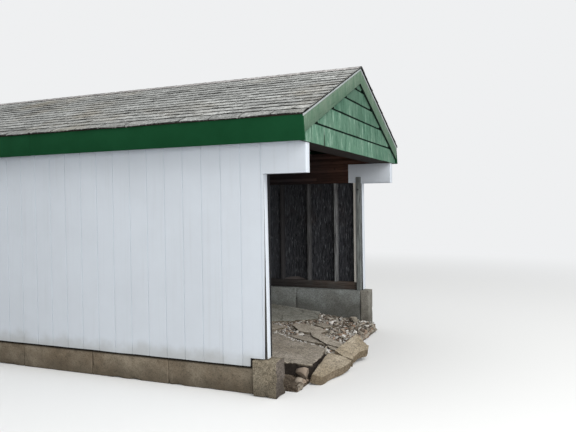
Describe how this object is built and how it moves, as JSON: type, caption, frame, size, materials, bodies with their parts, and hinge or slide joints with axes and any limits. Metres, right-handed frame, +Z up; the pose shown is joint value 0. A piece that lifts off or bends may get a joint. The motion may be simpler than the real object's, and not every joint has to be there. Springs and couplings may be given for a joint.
{
  "type": "boathouse",
  "caption": "Small timber boathouse open at its lake end, with a shingled gable roof, grooved siding, exposed stud framing, concrete foundation walls and a broken slab floor.",
  "frame": {"origin": "middle of the bounding box's footprint, at the foot of the foundation walls", "axes": "-Y out of the open lake end, +Y to the rear, +X to the right of someone who looks in through the mouth, +Z up"},
  "size_m": [3.5354, 6.681, 3.2283],
  "materials": {
    "white_paint": "white exterior paint on plywood and boards, matt",
    "dark_green_paint": "dark green exterior paint, satin",
    "worn_green_paint": "green paint, faded, over wood shingles and boards",
    "asphalt_shingle": "mineral granules in asphalt, rough",
    "raw_wood": "weathered bare softwood",
    "brown_wood": "reddish brown rough timber",
    "concrete": "cast concrete, stained, rough",
    "rubble": "packed gravel and broken concrete",
    "edge_metal": "light grey painted sheet metal, dull"
  },
  "bodies": {
    "root": {"siding_left": "white_paint", "siding_right": "white_paint", "siding_rear": "white_paint", "header_cladding": "white_paint", "header_end_boards": "white_paint", "inner_panel": "white_paint", "end_trims": "white_paint", "corner_boards": "white_paint", "soffits": "white_paint", "fascia_left": "dark_green_paint", "fascia_right": "dark_green_paint", "gable_shingles_front": "worn_green_paint", "gable_shingles_rear": "worn_green_paint", "rake_boards_front": "worn_green_paint", "rake_boards_rear": "worn_green_paint", "roof_shingles_left": "asphalt_shingle", "roof_shingles_right": "asphalt_shingle", "ridge_cap": "asphalt_shingle", "studs_left": "raw_wood", "studs_right": "raw_wood", "studs_rear": "raw_wood", "rear_plates": "raw_wood", "door_posts": "raw_wood", "gable_studs": "raw_wood", "gable_sheathing": "raw_wood", "rafters": "raw_wood", "ridge_board": "raw_wood", "ceiling_ties": "raw_wood", "roof_deck_left": "raw_wood", "roof_deck_right": "raw_wood", "sill_left": "brown_wood", "sill_right": "brown_wood", "sill_rear": "brown_wood", "header_left": "brown_wood", "header_right": "brown_wood", "tie_board": "brown_wood", "lintel": "brown_wood", "stem_wall_left": "concrete", "stem_wall_right": "concrete", "stem_wall_rear": "concrete", "end_blocks": "concrete", "floor_slab": "concrete", "ramp_slab": "concrete", "slab_fragments": "concrete", "fill_bed": "rubble", "edge_strips": "edge_metal"}
  },
  "joints": []
}
